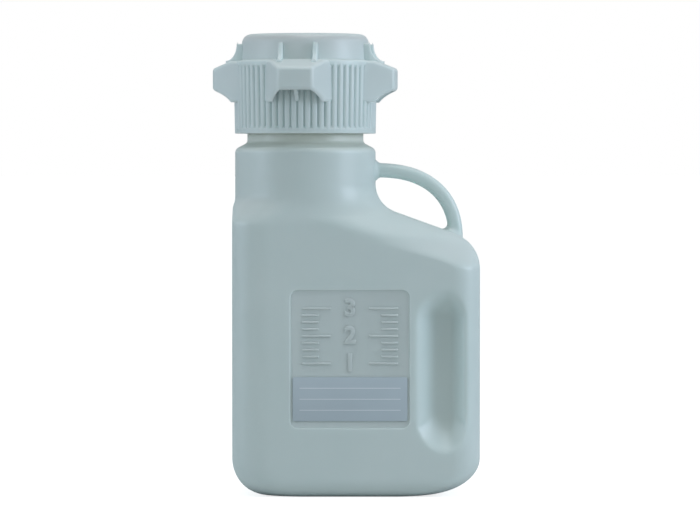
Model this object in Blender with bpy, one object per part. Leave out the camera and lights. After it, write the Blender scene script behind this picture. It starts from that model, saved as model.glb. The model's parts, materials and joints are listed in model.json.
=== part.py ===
"""Wide-mouth laboratory bottle with a ring handle, two grip recesses and a winged screw cap.

Lengths are in metres. +Z is up, +X is the handle side and -Y is the front, with the panel and the label.
The origin is the centre of the flat base, on the surface that the bottle stands on.
"""

import math

import bmesh
import bpy

# Body of the bottle
BODY_WIDTH = 0.164
BODY_DEPTH = 0.098
BODY_CORNER = 0.018  # radius of the four upright corners
FOOT_CORNER = 0.028  # radius of the lower left and right corners, seen from the front
FOOT_ROUND = 0.012  # radius of the lower front and back edges
WALL = 0.0022

# Sloping shoulder between the body and the tower under the neck
SHOULDER_HEIGHT = 0.1675  # where the slope would meet the handle side
SHOULDER_SLOPE = math.radians(20)
SHOULDER_ROUND = 0.024
SHOULDER_RISE = 0.016  # height over which the front face ends and the shoulder begins
TOWER_FILLET = 0.020

# Tower and neck
TOWER_ROUND = 0.00815  # radius of the tower's rounded top edge, up to the neck
TOWER_INSET = 0.0013  # the tower stands this far in from the body's left side
TOWER_HEIGHT = 0.02792  # from the top of the shoulder's fillet
NECK_RADIUS = 0.03875
NECK_HEIGHT = 0.067  # from the tower's top to the rim

# Ring handle, a solid strap from the tower to the shoulder's corner
STRAP_THICKNESS = 0.0096
STRAP_WIDTH = 0.016
STRAP_ROUND = 0.003
STRAP_DROP = 0.019  # from the tower's top to the strap's middle where it leaves the tower
STRAP_INSET = 0.0168  # the strap's middle stands this far in from the body's right side
STRAP_SQUARENESS = 2.5  # exponent of the curve: 2 is an ellipse

# Grip recesses, one in the front and one in the back
GRIP_DEPTH = 0.017
GRIP_RIGHT = 0.0115  # from the body's right side to the mouth of the recess
GRIP_WIDTH = 0.036
GRIP_LOW = 0.0275
GRIP_TOP = 0.0037  # from the foot of the shoulder's corner down to the recess
GRIP_CORNER = 0.014
GRIP_SLOPE = 0.0185  # run of the wide sloping side, away from the handle side
GRIP_STEEP = 0.004  # run of the steep side
GRIP_END_LOW = 0.014  # run of the lower end
GRIP_END_HIGH = 0.011  # run of the upper end

# Panel in the front face, and the label in it
PANEL_LEFT = 0.0385  # from the body's left side
PANEL_LAP = 0.001  # the panel runs this far over the recess's soft edge
PANEL_LOW = 0.0455
PANEL_TOP = 0.0137  # from the foot of the shoulder's corner down to the panel
PANEL_CORNER = 0.0053
PANEL_DEPTH = 0.0009
LABEL_MARGIN = 0.00175  # to the panel's sides
LABEL_HEIGHT = 0.029
LABEL_RISE = 0.005  # from the panel's lower edge to the label's
LABEL_THICKNESS = 0.0004
LABEL_CORNER = 0.0012
LABEL_GAP = 0.0003  # to the panel's floor

# Screw thread: one ridge on the neck and one in the cap
THREAD_LEAD = 0.008
THREAD_TURNS = 1.6
THREAD_HEIGHT = 0.00275  # ridge height
THREAD_ROOT = 0.0032  # ridge width at its root
THREAD_CREST = 0.0016
THREAD_RISE = 0.010  # from the cap's lower edge to the neck ridge's lower end
THREAD_GAP = 0.0005  # from each ridge's crest to the wall across from it

# Cap
CAP_CLEARANCE = 0.0055  # from the tower's top to the cap's lower edge
CAP_WALL = 0.0022
CAP_CEILING = 0.0025  # thickness of the cap's top
RING_WALL = 0.0049  # from the bore to the ribs' crests
DOME_HEIGHT = 0.0178  # from the ring's top
DOME_GAP = 0.00125  # from the neck to the dome's inner wall
DOME_ROUND = 0.006
RIB_COUNT = 64
RIB_GROOVE = 0.0018  # width of the groove between two ribs
RIB_DEPTH = 0.0011
RIB_MARGIN = 0.0031  # plain band below and above the ribs

# Wings of the cap
WING_COUNT = 4
WING_TURN = math.radians(-6)  # how far the cap is turned at rest
WING_LENGTH = 0.0141  # from the ring to the wing's outer face
WING_TIP = 0.023  # width of the outer face
WING_ROOT = 0.0422  # width where the wing meets the ring
WING_FALL = 0.0066  # how far the top drops from the ring to the tip
WING_FACE = 0.0138  # height of the outer face
WING_DEEP = 0.029  # height of the wing at the ring
WING_WALL = 0.002
WING_FIN = 0.0022
GUSSET_HEIGHT = 0.0092
GUSSET_FOOT = 0.0089  # how far the gussets reach out from the dome
GUSSET_THICKNESS = 0.0024

# Gasket
GASKET_WIDTH = 0.0032
GASKET_GAP = 0.0003  # to the neck's rim and to the cap's ceiling
GASKET_THICKNESS = 0.0016

# Fineness of the round parts
CORNER_STEPS = 12
TURN_STEPS = 72

# What follows from the sizes above
TOWER_RADIUS = NECK_RADIUS + TOWER_ROUND
AXIS_X = -BODY_WIDTH / 2 + TOWER_INSET + TOWER_RADIUS
FRONT = -BODY_DEPTH / 2
THREAD_RADIUS = NECK_RADIUS + THREAD_HEIGHT
CAP_BORE = THREAD_RADIUS + THREAD_GAP
RING_RADIUS = CAP_BORE + RING_WALL
DOME_RADIUS = NECK_RADIUS + DOME_GAP + CAP_WALL
WING_REACH = RING_RADIUS + WING_LENGTH
FILLET_X = AXIS_X + TOWER_RADIUS + TOWER_FILLET
CORNER_X = BODY_WIDTH / 2 - SHOULDER_ROUND
GRIP_LEFT = BODY_WIDTH / 2 - GRIP_RIGHT - GRIP_WIDTH
PANEL_START = -BODY_WIDTH / 2 + PANEL_LEFT
PANEL_END = GRIP_LEFT + PANEL_LAP


def slope_height(x):
    """Height of the sloping shoulder's straight run at x."""
    return SHOULDER_HEIGHT + math.tan(SHOULDER_SLOPE) * (BODY_WIDTH / 2 - x)


FILLET_TOP = slope_height(FILLET_X) + TOWER_FILLET / math.cos(SHOULDER_SLOPE)
CORNER_FOOT = slope_height(CORNER_X) - SHOULDER_ROUND / math.cos(SHOULDER_SLOPE)
GRIP_HIGH = CORNER_FOOT - GRIP_TOP
PANEL_HIGH = CORNER_FOOT - PANEL_TOP
TOWER_TOP = FILLET_TOP + TOWER_HEIGHT
NECK_TOP = TOWER_TOP + NECK_HEIGHT
STRAP_RISE = TOWER_TOP - STRAP_DROP
CEILING_HEIGHT = NECK_TOP + 2 * GASKET_GAP + GASKET_THICKNESS
CAP_TOP = CEILING_HEIGHT + CAP_CEILING
CAP_BOTTOM = TOWER_TOP + CAP_CLEARANCE
RING_TOP = CAP_TOP - DOME_HEIGHT
THREAD_START = CAP_BOTTOM + THREAD_RISE


def clear_scene():
    for obj in list(bpy.data.objects):
        bpy.data.objects.remove(obj, do_unlink=True)


def material(name, colour, roughness):
    made = bpy.data.materials.new(name)
    made.use_nodes = True
    shader = made.node_tree.nodes["Principled BSDF"]
    shader.inputs["Base Color"].default_value = (*colour, 1.0)
    shader.inputs["Roughness"].default_value = roughness
    shader.inputs["Metallic"].default_value = 0.0
    return made


def finished(name, bm, at=(0.0, 0.0, 0.0), turn=0.0):
    """The bmesh as an object with outward faces, shaded smooth except at its edges."""
    bmesh.ops.remove_doubles(bm, verts=bm.verts[:], dist=1e-6)
    bmesh.ops.recalc_face_normals(bm, faces=bm.faces[:])
    mesh = bpy.data.meshes.new(name)
    bm.to_mesh(mesh)
    bm.free()
    mesh.shade_smooth()
    mesh.set_sharp_from_angle(angle=math.radians(35))
    obj = bpy.data.objects.new(name, mesh)
    obj.location = at
    obj.rotation_euler = (0.0, 0.0, turn)
    bpy.context.collection.objects.link(obj)
    return obj


def as_cutter(obj):
    obj.hide_render = True
    obj.display_type = "WIRE"
    return obj


def boolean(obj, operation, other):
    step = obj.modifiers.new(f"{operation.lower()}_{other.name}", "BOOLEAN")
    step.operation = operation
    step.solver = "EXACT"
    step.object = as_cutter(other)


def loft(bm, rings):
    """A closed body through rings of equal point counts, capped at both ends."""
    loops = [[bm.verts.new(point) for point in ring] for ring in rings]
    for low, high in zip(loops, loops[1:]):
        for i in range(len(low)):
            j = (i + 1) % len(low)
            bm.faces.new((low[i], low[j], high[j], high[i]))
    bm.faces.new(loops[0][::-1])
    bm.faces.new(loops[-1])


def turned(name, profile, at=(0.0, 0.0, 0.0)):
    """A closed profile of (radius, height) points, spun about Z."""
    bm = bmesh.new()
    points = [bm.verts.new((radius, 0.0, height)) for radius, height in profile]
    edges = [bm.edges.new(pair) for pair in zip(points, points[1:])]
    if profile[0][0] > 0.0:
        edges.append(bm.edges.new((points[-1], points[0])))
    spin = {"cent": (0, 0, 0), "axis": (0, 0, 1), "angle": 2 * math.pi, "steps": TURN_STEPS}
    bmesh.ops.spin(bm, geom=points + edges, use_merge=True, **spin)
    return finished(name, bm, at)


def arc(centre, radii, first, last, steps):
    """Points on an ellipse's arc between two angles in degrees."""
    angles = [math.radians(first + (last - first) * i / steps) for i in range(steps + 1)]
    return [(centre[0] + radii[0] * math.cos(a), centre[1] + radii[1] * math.sin(a)) for a in angles]


def rounded_rectangle(low, high, radius, steps=5):
    """Corner arcs of an upright rectangle, anticlockwise from its upper right corner."""
    (left, bottom), (right, top) = low, high
    points = arc((right - radius, top - radius), (radius, radius), 0, 90, steps)
    points += arc((left + radius, top - radius), (radius, radius), 90, 180, steps)
    points += arc((left + radius, bottom + radius), (radius, radius), 180, 270, steps)
    points += arc((right - radius, bottom + radius), (radius, radius), 270, 360, steps)
    return points


def eased(value, first, last):
    """0 below first, 1 above last, and a smooth rise between them."""
    share = min(max((value - first) / (last - first), 0.0), 1.0)
    return share * share * (3.0 - 2.0 * share)


def blend(first, last, share):
    return first + (last - first) * share


# The bottle's shape: each function takes a height and how far in from the outer surface it is asked for.


def tower_radius(height, inset):
    """Radius above the shoulder: the tower, its rounded top edge and the neck."""
    rise = height - (TOWER_TOP - TOWER_ROUND)
    reach = TOWER_ROUND - inset
    if rise <= 0.0:
        return TOWER_RADIUS - inset
    if rise <= reach:
        return NECK_RADIUS + math.sqrt(reach**2 - rise**2)
    return NECK_RADIUS - inset


def right_side(height, inset):
    """X of the handle side in the middle plane."""
    if height >= FILLET_TOP:
        return AXIS_X + tower_radius(height, inset)
    fillet = TOWER_FILLET + inset
    if height >= FILLET_TOP - fillet * math.cos(SHOULDER_SLOPE):
        return FILLET_X - math.sqrt(fillet**2 - (FILLET_TOP - height) ** 2)
    corner = SHOULDER_ROUND - inset
    if height >= CORNER_FOOT + corner * math.cos(SHOULDER_SLOPE):
        level = height + inset / math.cos(SHOULDER_SLOPE)
        return BODY_WIDTH / 2 - (level - SHOULDER_HEIGHT) / math.tan(SHOULDER_SLOPE)
    if height >= CORNER_FOOT:
        return CORNER_X + math.sqrt(corner**2 - (height - CORNER_FOOT) ** 2)
    return BODY_WIDTH / 2 - inset - foot_loss(height, inset, FOOT_CORNER)


def foot_loss(height, inset, radius):
    """How far a rounded lower edge of this radius draws the side in at a height."""
    if height >= radius:
        return 0.0
    reach = radius - inset
    return reach - math.sqrt(max(reach**2 - (radius - height) ** 2, 0.0))


def left_side(height, inset):
    if height >= FILLET_TOP:
        return AXIS_X - tower_radius(height, inset)
    step = TOWER_INSET * eased(height, FILLET_TOP - TOWER_FILLET, FILLET_TOP)
    return step - BODY_WIDTH / 2 + inset + foot_loss(height, inset, FOOT_CORNER)


def half_depth(height, inset):
    if height >= TOWER_TOP - TOWER_ROUND:
        return tower_radius(height, inset)
    share = eased(height, CORNER_FOOT, FILLET_TOP + SHOULDER_RISE)
    full = blend(BODY_DEPTH / 2, TOWER_RADIUS, share)
    return full - inset - foot_loss(height, inset, FOOT_ROUND)


def outline(height, inset):
    """The bottle's section at a height, as four elliptical corners."""
    left, right = left_side(height, inset), right_side(height, inset)
    depth = half_depth(height, inset)
    corner = BODY_CORNER - inset
    ends = eased(height, CORNER_FOOT, CORNER_FOOT + SHOULDER_RISE)
    right_x = blend(corner, right - AXIS_X, ends)
    right_y = blend(corner, depth, eased(height, CORNER_FOOT, FILLET_TOP))
    round_off = eased(height, FILLET_TOP - TOWER_FILLET, FILLET_TOP + SHOULDER_RISE / 3)
    left_x = blend(corner, AXIS_X - left, round_off)
    left_y = blend(corner, depth, round_off)
    corners = (
        (right, depth, -right_x, -right_y, 0),
        (left, depth, left_x, -left_y, 90),
        (left, -depth, left_x, left_y, 180),
        (right, -depth, -right_x, right_y, 270),
    )
    points = []
    for x, y, in_x, in_y, start in corners:
        radii = (abs(in_x), abs(in_y))
        points += arc((x + in_x, y + in_y), radii, start, start + 90, CORNER_STEPS)
    return [(x, y, height) for x, y in points]


def section_heights(inset):
    """Heights of the bottle's sections, closest where its sides curve."""
    foot = {FOOT_CORNER - (FOOT_CORNER - inset) * math.cos(math.radians(a)) for a in range(0, 91, 15)}
    foot |= {FOOT_ROUND - (FOOT_ROUND - inset) * math.cos(math.radians(a)) for a in range(30, 91, 30)}
    corner = SHOULDER_ROUND - inset
    rounded = {CORNER_FOOT + corner * math.sin(math.radians(a)) for a in range(0, 70, 14)}
    fillet = TOWER_FILLET + inset
    hollow = {FILLET_TOP - fillet * math.sin(math.radians(a)) for a in range(0, 70, 11)}
    low, high = max(rounded), min(hollow)
    straight = {blend(low, high, share / 3) for share in (1, 2)}
    reach = TOWER_ROUND - inset
    middle = TOWER_TOP - TOWER_ROUND
    top = {middle + reach * math.sin(math.radians(a)) for a in range(0, 91, 18)}
    rise = {FILLET_TOP + SHOULDER_RISE * share / 3 for share in (1, 2)}
    return sorted(foot | rounded | straight | hollow | rise | top)


def bottle_form(name, inset, top):
    """The closed form of the bottle, drawn in by an inset from its outer surface."""
    heights = section_heights(inset)
    rings = [outline(height, inset) for height in heights]
    neck = NECK_RADIUS - inset
    for height in (heights[-1], top):
        points = arc((AXIS_X, 0.0), (neck, neck), 0, 360, 4 * CORNER_STEPS)[:-1]
        rings.append([(x, y, height) for x, y in with_doubles(points)])
    bm = bmesh.new()
    loft(bm, rings)
    return finished(name, bm)


def with_doubles(points):
    """A full circle's points with each quarter's end given twice, as the four corners give them."""
    doubled = []
    for quarter in range(4):
        first = quarter * CORNER_STEPS
        doubled += [points[(first + i) % len(points)] for i in range(CORNER_STEPS + 1)]
    return doubled


def grip_cutter(name, side, grow):
    """The form of a grip recess on the front (-1) or the back (1), enlarged all round."""
    right = BODY_WIDTH / 2 - GRIP_RIGHT
    mouth = rounded_rectangle(
        (GRIP_LEFT - grow, GRIP_LOW - grow), (right + grow, GRIP_HIGH + grow), GRIP_CORNER
    )
    floor_width = GRIP_WIDTH - GRIP_SLOPE - GRIP_STEEP
    floor = rounded_rectangle(
        (GRIP_LEFT + GRIP_SLOPE - grow, GRIP_LOW + GRIP_END_LOW - grow),
        (right - GRIP_STEEP + grow, GRIP_HIGH - GRIP_END_HIGH + grow),
        min(GRIP_CORNER, floor_width) / 2.5,
    )
    face = BODY_DEPTH / 2
    bm = bmesh.new()
    rings = []
    for share in (-0.3, 1.0):
        depth = GRIP_DEPTH * share + grow * (share > 0.0)
        ring = [(blend(a[0], b[0], share), blend(a[1], b[1], share)) for a, b in zip(mouth, floor)]
        rings.append([(x, side * (face - depth), z) for x, z in ring])
    loft(bm, rings)
    return finished(name, bm)


def strap_form():
    """The ring handle, swept along a rounded quarter curve in the middle plane."""
    start_x = AXIS_X + TOWER_RADIUS - WALL / 2
    end_x = BODY_WIDTH / 2 - STRAP_INSET
    end_z = slope_height(end_x) - STRAP_THICKNESS / 2
    reach, rise = end_x - start_x, STRAP_RISE - end_z
    power = 2.0 / STRAP_SQUARENESS
    steps = 20
    path = []
    for i in range(steps + 1):
        angle = math.pi / 2 * i / steps
        path.append((start_x + reach * math.sin(angle) ** power, end_z + rise * math.cos(angle) ** power))
    section = rounded_rectangle(
        (-STRAP_THICKNESS / 2, -STRAP_WIDTH / 2), (STRAP_THICKNESS / 2, STRAP_WIDTH / 2), STRAP_ROUND, 3
    )
    rings = []
    for i, (x, z) in enumerate(path):
        before, after = path[max(i - 1, 0)], path[min(i + 1, steps)]
        along = math.atan2(after[1] - before[1], after[0] - before[0])
        out_x, out_z = -math.sin(along), math.cos(along)
        rings.append([(x + out_x * u, v, z + out_z * u) for u, v in section])
    bm = bmesh.new()
    loft(bm, rings)
    return finished("strap_form", bm)


def panel_cutter():
    points = rounded_rectangle((PANEL_START, PANEL_LOW), (PANEL_END, PANEL_HIGH), PANEL_CORNER)
    bm = bmesh.new()
    loft(bm, [[(x, y, z) for x, z in points] for y in (FRONT - 0.005, FRONT + PANEL_DEPTH)])
    return finished("panel_cutter", bm)


def thread_ridge(name, root, crest, start, angle):
    """A helical ridge about the neck's axis that fades into its wall at both ends."""
    steps_per_turn = 36
    steps = round(THREAD_TURNS * steps_per_turn)
    fade = 4
    rings = []
    for i in range(steps + 1):
        share = min(i, steps - i, fade) / fade
        top = blend(root, crest, share)
        turn = angle + 2 * math.pi * i / steps_per_turn
        level = start + THREAD_LEAD * i / steps_per_turn
        profile = (
            (root, level - THREAD_ROOT / 2),
            (top, level - THREAD_CREST / 2),
            (top, level + THREAD_CREST / 2),
            (root, level + THREAD_ROOT / 2),
        )
        if share == 0.0:
            middle = (root + 1e-4 * math.copysign(1.0, crest - root), level)
            profile = (profile[0], middle, middle, profile[3])
        rings.append([(r * math.cos(turn), r * math.sin(turn), z) for r, z in profile])
    bm = bmesh.new()
    loft(bm, rings)
    return finished(name, bm, (AXIS_X, 0.0, 0.0))


def bottle(finish):
    """One hollow moulding: body, tower, threaded neck, ring handle and grip recesses."""
    form = bottle_form("bottle", 0.0, NECK_TOP)
    boolean(form, "DIFFERENCE", grip_cutter("front_grip_cutter", -1, 0.0))
    boolean(form, "DIFFERENCE", grip_cutter("rear_grip_cutter", 1, 0.0))
    boolean(form, "DIFFERENCE", panel_cutter())
    boolean(form, "UNION", strap_form())
    hollow = bottle_form("hollow_form", WALL, NECK_TOP + WALL)
    boolean(hollow, "DIFFERENCE", grip_cutter("front_grip_wall", -1, WALL))
    boolean(hollow, "DIFFERENCE", grip_cutter("rear_grip_wall", 1, WALL))
    boolean(form, "DIFFERENCE", hollow)
    root = NECK_RADIUS - WALL / 2
    boolean(form, "UNION", thread_ridge("neck_thread", root, THREAD_RADIUS, THREAD_START, 0.0))
    form.data.materials.append(finish)


def cap_body():
    """The cap before its wings: a solid turned form with ribs round its ring."""
    round_off = RING_RADIUS - DOME_RADIUS
    edge = min(round_off, RIB_MARGIN) / 3
    dome = arc((DOME_RADIUS - DOME_ROUND, CAP_TOP - DOME_ROUND), (DOME_ROUND, DOME_ROUND), 90, 0, 6)
    ring = [
        (DOME_RADIUS, RING_TOP + edge),
        (DOME_RADIUS + edge, RING_TOP),
        (RING_RADIUS - edge, RING_TOP),
        (RING_RADIUS, RING_TOP - edge),
        (RING_RADIUS, CAP_BOTTOM + edge / 2),
        (RING_RADIUS - edge / 2, CAP_BOTTOM),
        (0.0, CAP_BOTTOM),
    ]
    return turned("screw_cap", [(0.0, CAP_TOP)] + dome + ring, (AXIS_X, 0.0, 0.0))


def rib_cutter():
    """The grooves between the ribs."""
    low, high = CAP_BOTTOM + RIB_MARGIN, RING_TOP - RIB_MARGIN
    profile = (
        (RING_RADIUS + RIB_DEPTH, -RIB_GROOVE),
        (RING_RADIUS + RIB_DEPTH, RIB_GROOVE),
        (RING_RADIUS - RIB_DEPTH, RIB_GROOVE / 4),
        (RING_RADIUS - RIB_DEPTH, -RIB_GROOVE / 4),
    )
    bm = bmesh.new()
    for i in range(RIB_COUNT):
        turn = 2 * math.pi * i / RIB_COUNT
        cos, sin = math.cos(turn), math.sin(turn)
        loft(bm, [[(r * cos - w * sin, r * sin + w * cos, z) for r, w in profile] for z in (low, high)])
    return finished("rib_cutter", bm, (AXIS_X, 0.0, 0.0), WING_TURN)


def wing_top(reach):
    share = max(reach - RING_RADIUS, 0.0) / (WING_REACH - RING_RADIUS)
    return RING_TOP - WING_WALL / 10 - WING_FALL * share


def wing_bottom(reach):
    share = min((WING_REACH - reach) / (WING_REACH - RING_RADIUS), 1.0)
    tip = RING_TOP - WING_FALL - WING_FACE
    return blend(tip, RING_TOP - WING_DEEP, share**2.5)


def wing_half(reach):
    """Half the wing's width at a distance from the cap's axis along the wing."""
    root = math.sqrt(RING_RADIUS**2 - (WING_ROOT / 2) ** 2)
    return WING_TIP / 2 + (WING_ROOT - WING_TIP) / 2 * (WING_REACH - reach) / (WING_REACH - root)


def around_cap(name, sections):
    """A form lofted along the first wing's direction, repeated for every wing."""
    bm = bmesh.new()
    for i in range(WING_COUNT):
        turn = 2 * math.pi * i / WING_COUNT
        cos, sin = math.cos(turn), math.sin(turn)
        rings = [[(x * cos - y * sin, x * sin + y * cos, z) for x, y, z in ring] for ring in sections]
        loft(bm, rings)
    return finished(name, bm, (AXIS_X, 0.0, 0.0), WING_TURN)


def upright(x, half, low, high):
    """A rectangle across the wing's direction."""
    return [(x, -half, low), (x, half, low), (x, half, high), (x, -half, high)]


def wing_blanks():
    chamfer = WING_WALL / 2
    inner = RING_RADIUS * 0.7
    reaches = [inner] + [blend(RING_RADIUS, WING_REACH - chamfer, i / 4) for i in range(5)]
    sections = [upright(x, wing_half(x), wing_bottom(x), wing_top(x)) for x in reaches]
    tip = WING_REACH
    sections.append(upright(tip, wing_half(tip), wing_bottom(tip) + chamfer, wing_top(tip) - chamfer))
    return around_cap("wing_blanks", sections)


def wing_pockets():
    """The hollows under the wings, which stop at the ring."""
    floor = CAP_BOTTOM + RIB_MARGIN
    reaches = (RING_RADIUS * 0.8, RING_RADIUS, WING_REACH - WING_WALL)
    sections = [upright(x, wing_half(x) - 1.1 * WING_WALL, floor, wing_top(x) - WING_WALL) for x in reaches]
    pockets = around_cap("wing_pockets", sections)
    core = RING_RADIUS + WING_WALL / 10
    ring = [(0.0, CAP_TOP), (core, CAP_TOP), (core, CAP_BOTTOM - CAP_WALL), (0.0, CAP_BOTTOM - CAP_WALL)]
    boolean(pockets, "DIFFERENCE", turned("ring_core", ring, (AXIS_X, 0.0, 0.0)))
    return pockets


def wing_fins():
    """The thin web down the middle of each hollow wing."""
    first, last = RING_RADIUS - RIB_DEPTH - CAP_WALL / 2, WING_REACH - WING_WALL / 2
    reaches = [blend(first, last, i / 4) for i in range(5)]
    lift = WING_WALL / 4
    sections = [
        upright(x, WING_FIN / 2, wing_bottom(x) + lift, wing_top(x) - WING_WALL / 2) for x in reaches
    ]
    return around_cap("wing_fins", sections)


def gussets():
    """Pairs of curved fins from the dome's side to the top of each wing."""
    foot = DOME_RADIUS + GUSSET_FOOT
    sink = WING_FALL / 2
    inner = DOME_RADIUS - CAP_WALL * 2
    curve = arc((foot, RING_TOP + GUSSET_HEIGHT), (GUSSET_FOOT, GUSSET_HEIGHT), 180, 270, 5)
    low = RING_TOP - sink
    profile = [(inner, RING_TOP + GUSSET_HEIGHT)] + curve + [(foot, low), (inner, low)]
    bm = bmesh.new()
    for i in range(WING_COUNT):
        turn = 2 * math.pi * i / WING_COUNT
        cos, sin = math.cos(turn), math.sin(turn)
        for side in (-1, 1):
            middle = side * WING_TIP / 2
            levels = (middle - GUSSET_THICKNESS / 2, middle + GUSSET_THICKNESS / 2)
            loft(bm, [[(x * cos - y * sin, x * sin + y * cos, z) for x, z in profile] for y in levels])
    return finished("gussets", bm, (AXIS_X, 0.0, 0.0), WING_TURN)


def cap_hollow():
    """The space inside the cap: the threaded skirt, and the dome over the neck's rim."""
    dome = DOME_RADIUS - CAP_WALL
    relief = CAP_WALL / 3
    step = RING_TOP - CAP_WALL
    profile = [
        (0.0, CEILING_HEIGHT),
        (dome - relief, CEILING_HEIGHT),
        (dome, CEILING_HEIGHT - relief),
        (dome, step),
        (CAP_BORE, step - (CAP_BORE - dome)),
        (CAP_BORE, CAP_BOTTOM - CAP_WALL),
        (0.0, CAP_BOTTOM - CAP_WALL),
    ]
    return turned("cap_hollow", profile, (AXIS_X, 0.0, 0.0))


def screw_cap(finish):
    """The closure: dome, ribbed ring, hollow wings and gussets, in one moulding."""
    cap = cap_body()
    boolean(cap, "DIFFERENCE", rib_cutter())
    boolean(cap, "UNION", wing_blanks())
    boolean(cap, "DIFFERENCE", wing_pockets())
    boolean(cap, "UNION", wing_fins())
    boolean(cap, "UNION", gussets())
    boolean(cap, "DIFFERENCE", cap_hollow())
    root = CAP_BORE + THREAD_GAP
    crest = NECK_RADIUS + THREAD_GAP
    start = THREAD_START + THREAD_LEAD / 2
    boolean(cap, "UNION", thread_ridge("cap_thread", root, crest, start, 0.0))
    cap.data.materials.append(finish)


def cap_gasket(finish):
    middle = NECK_RADIUS - WALL / 2
    inner, outer = middle - GASKET_WIDTH / 2, middle + GASKET_WIDTH / 2
    low = NECK_TOP + GASKET_GAP
    high = low + GASKET_THICKNESS
    profile = [(inner, high), (outer, high), (outer, low), (inner, low)]
    gasket = turned("cap_gasket", profile, (AXIS_X, 0.0, 0.0))
    gasket.data.materials.append(finish)


def label(finish):
    """A thin sheet in the lower part of the panel, clear of its floor."""
    back = FRONT + PANEL_DEPTH - LABEL_GAP
    low = PANEL_LOW + LABEL_RISE
    left, right = PANEL_START + LABEL_MARGIN, PANEL_END - LABEL_MARGIN
    points = rounded_rectangle((left, low), (right, low + LABEL_HEIGHT), LABEL_CORNER, 3)
    bm = bmesh.new()
    loft(bm, [[(x, y, z) for x, z in points] for y in (back, back - LABEL_THICKNESS)])
    sheet = finished("label", bm)
    sheet.data.materials.append(finish)


def main():
    clear_scene()
    bottle(material("bottle_hdpe", (0.40, 0.47, 0.49), 0.42))
    screw_cap(material("cap_polypropylene", (0.46, 0.53, 0.56), 0.38))
    cap_gasket(material("gasket_elastomer", (0.72, 0.72, 0.68), 0.6))
    label(material("label_film", (0.30, 0.37, 0.42), 0.5))


main()
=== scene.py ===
"""The looks of the wide-mouth laboratory bottle: its moulded shell, winged cap, label and studio.

Lengths are in metres. +Z is up, +X is the handle side and -Y is the front. Places come from the CAD frame.
"""

import json
import math

import bpy
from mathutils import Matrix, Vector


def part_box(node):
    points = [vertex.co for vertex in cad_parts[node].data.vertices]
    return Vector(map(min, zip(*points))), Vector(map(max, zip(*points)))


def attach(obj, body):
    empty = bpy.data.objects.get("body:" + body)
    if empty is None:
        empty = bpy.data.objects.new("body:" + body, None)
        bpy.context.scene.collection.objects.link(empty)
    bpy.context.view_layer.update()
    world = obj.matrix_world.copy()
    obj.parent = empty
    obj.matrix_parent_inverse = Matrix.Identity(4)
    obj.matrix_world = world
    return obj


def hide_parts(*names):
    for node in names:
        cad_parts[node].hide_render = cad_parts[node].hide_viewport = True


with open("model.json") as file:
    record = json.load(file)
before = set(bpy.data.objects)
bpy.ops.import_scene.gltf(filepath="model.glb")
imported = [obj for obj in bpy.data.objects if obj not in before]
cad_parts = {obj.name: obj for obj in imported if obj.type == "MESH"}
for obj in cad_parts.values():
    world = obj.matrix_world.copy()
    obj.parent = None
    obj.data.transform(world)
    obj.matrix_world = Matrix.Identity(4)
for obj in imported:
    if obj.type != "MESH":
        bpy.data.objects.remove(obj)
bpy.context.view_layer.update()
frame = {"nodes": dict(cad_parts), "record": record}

# The frame's own sizes
BOTTLE_LOW, BOTTLE_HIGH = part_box("bottle")
CAP_LOW, CAP_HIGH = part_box("screw_cap")
LABEL_LOW, LABEL_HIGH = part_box("label")
JOINTS = {joint["name"]: joint for joint in frame["record"]["behaviour"]["joints"]}
AXIS_X = JOINTS["cap_turn"]["pos_m"][0]
RIGHT = BOTTLE_HIGH[0]
LEFT = BOTTLE_LOW[0]
FRONT = BOTTLE_LOW[1]
HALF_DEPTH = BOTTLE_HIGH[1]
NECK_TOP = BOTTLE_HIGH[2]
CAP_BOTTOM = CAP_LOW[2]
CAP_TOP = CAP_HIGH[2]

# Bottle
BODY_CORNER = 0.018
BODY_CORNER_REACH = 0.027  # how far the left corners spread across the front and back
FOOT_LEFT = (0.025, 0.025)  # reach in and up of the lower left corner, seen from the front
FOOT_RIGHT = (0.042, 0.025)
FOOT_ROUND = (0.012, 0.012)
WALL = 0.0022
BASE_PUSH = 0.0022  # how far the middle of the base is pushed up
BASE_RISE = (0.70, 0.86)  # shares of the way out between which the base comes down to its foot
BASE_RINGS = (0.02, 0.2, 0.4, 0.6, 0.7, 0.74, 0.78, 0.82, 0.86, 0.93)  # shares of the way out
SHOULDER_HEIGHT = 0.1675  # where the sloping shoulder would meet the handle side
SHOULDER_SLOPE = math.radians(20)
SHOULDER_ROUND = 0.024
SHOULDER_RISE = 0.020  # height over which the handle side's corners open out into the slope
SHOULDER_REACH = 0.066  # how far the slope's rounded edge spreads inwards
SHOULDER_BAND = (0.1795, 0.1960)  # heights between which the front and back draw in to the tower
SHOULDER_STEP = (0.1900, 0.1965)  # heights between which the left side draws in
SHOULDER_TURN = -0.011  # from here to the handle side the band follows the slope down
SHOULDER_SETTLE = SHOULDER_RISE / 5  # how far above the band the left corners become the round tower
TOWER_RADIUS = 0.0469
TOWER_EDGE = 0.2296  # height where the tower's side would meet its sloping top
TOWER_SLOPE = math.radians(27.7)
TOWER_ROUND = 0.0042
TOWER_FILLET = 0.020
TOWER_INSET = AXIS_X - TOWER_RADIUS - LEFT
NECK_RADIUS = 0.03875
NECK_FILLET = 0.003
SHELL_PITCH = 0.0017  # between the sections of the outside, and of the hollow
HOLLOW_PITCH = 0.004

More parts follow.
